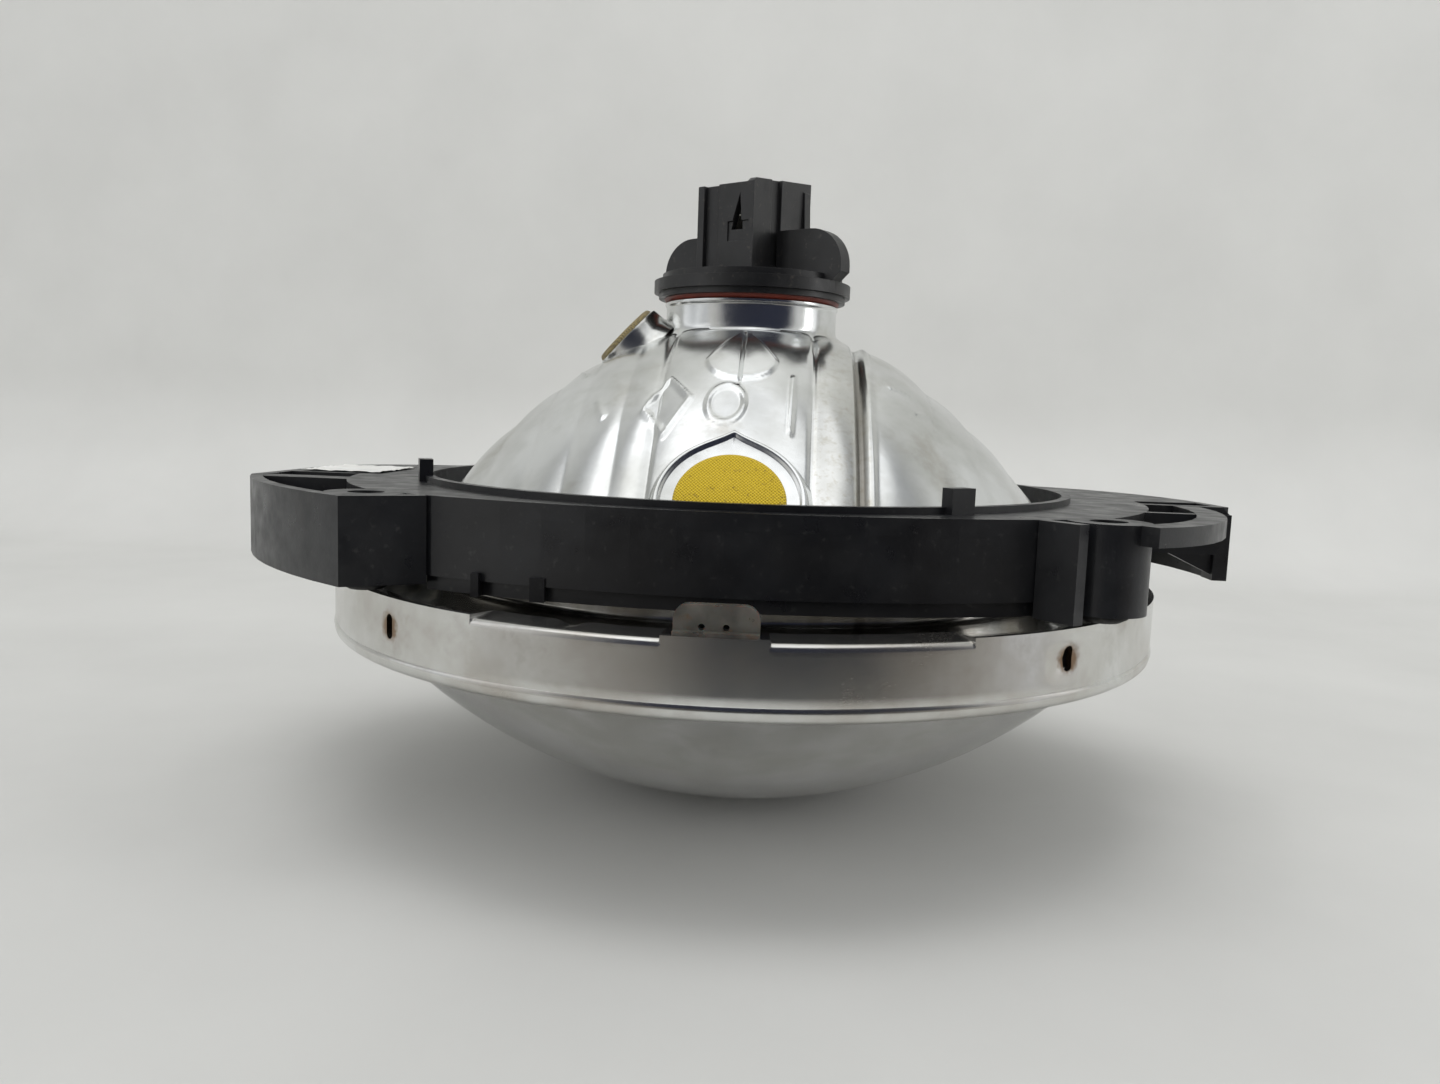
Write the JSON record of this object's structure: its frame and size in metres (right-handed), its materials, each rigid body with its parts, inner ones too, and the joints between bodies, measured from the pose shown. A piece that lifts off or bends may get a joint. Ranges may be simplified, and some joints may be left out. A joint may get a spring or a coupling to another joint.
{
  "type": "vehicle fog lamp",
  "caption": "Round vehicle fog lamp with a domed glass lens, a polished bezel, a metal reflector, a twist-in bulb and a moulded carrier whose screw sets the aim.",
  "frame": {"origin": "the lens vertex on the optical axis, at the centre of the underside of the box, with the lamp lying on its lens", "axes": "+Z along the optical axis from the lens to the bulb socket, X through the two mounting ears, -Y towards the side of the carrier with the yellow vent"},
  "size_m": [0.136, 0.117, 0.0892],
  "materials": {
    "metallised_steel": "pressed sheet, vacuum metallised, mirror to satin",
    "polished_stainless": "polished sheet, lightly scratched",
    "lens_glass": "pressed clear glass",
    "black_rubber": "matte",
    "natural_nylon": "moulded, translucent",
    "yellow_vent_mesh": "woven mesh on a breathable film",
    "khaki_vent_mesh": "woven mesh on a breathable film",
    "galvanised_steel": "zinc plated, pressed",
    "black_moulding": "injection moulded, fine grain",
    "blank_label": "blank white sticker, crinkled",
    "plated_screw_steel": "zinc plated",
    "grey_socket_plastic": "glass filled, injection moulded",
    "orange_silicone": "matte",
    "tinned_brass": "tin plated, stamped",
    "nickel_sleeve": "nickel plated",
    "quartz_glass": "drawn clear quartz",
    "black_bulb_paint": "matte heat proof coating",
    "tungsten": "drawn wire"
  },
  "bodies": {
    "lamp": {"reflector": "metallised_steel", "bulb_seat": "galvanised_steel", "bezel_ring": "polished_stainless", "lens": "lens_glass", "lens_seal": "black_rubber", "lens_clips": "natural_nylon", "front_vent_membrane": "yellow_vent_mesh", "rear_vent_membrane": "khaki_vent_mesh", "pivot_lugs": "galvanised_steel", "pivot_bushes": "natural_nylon", "nut_bracket": "galvanised_steel", "adjuster_nut": "natural_nylon", "lug_rivets": "plated_screw_steel"},
    "carrier_frame": {"carrier": "black_moulding", "rim_buffers": "black_rubber", "pivot_pins": "plated_screw_steel", "ear_label": "blank_label"},
    "adjuster": {"adjuster_screw": "plated_screw_steel", "adjuster_clip": "plated_screw_steel"},
    "bulb": {"bulb_base": "grey_socket_plastic", "connector_socket": "grey_socket_plastic", "bulb_o_ring": "orange_silicone", "terminal_live": "tinned_brass", "terminal_earth": "tinned_brass", "bulb_collar": "nickel_sleeve", "glass_capsule": "quartz_glass", "capsule_cap": "black_bulb_paint", "filament": "tungsten", "filament_supports": "tungsten"}
  },
  "joints": [
    {"name": "adjuster_turn", "type": "hinge", "parent": "carrier_frame", "child": "adjuster", "pos_m": [0, 0.051, 0.04], "axis": [0, 0, -1], "range_deg": [0, 352]},
    {"name": "aim_tilt", "type": "hinge", "parent": "lamp", "child": "carrier_frame", "pos_m": [0, 0, 0.0375], "axis": [-1, 0, 0], "range_deg": [0, 2.2]},
    {"name": "bulb_turn", "type": "hinge", "parent": "lamp", "child": "bulb", "pos_m": [0, 0, 0.07], "axis": [0, 0, 1], "range_deg": [0, 50]}
  ],
  "couplings": [
    {"joint": "aim_tilt", "follows": "adjuster_turn", "ratio": 0.00625}
  ]
}
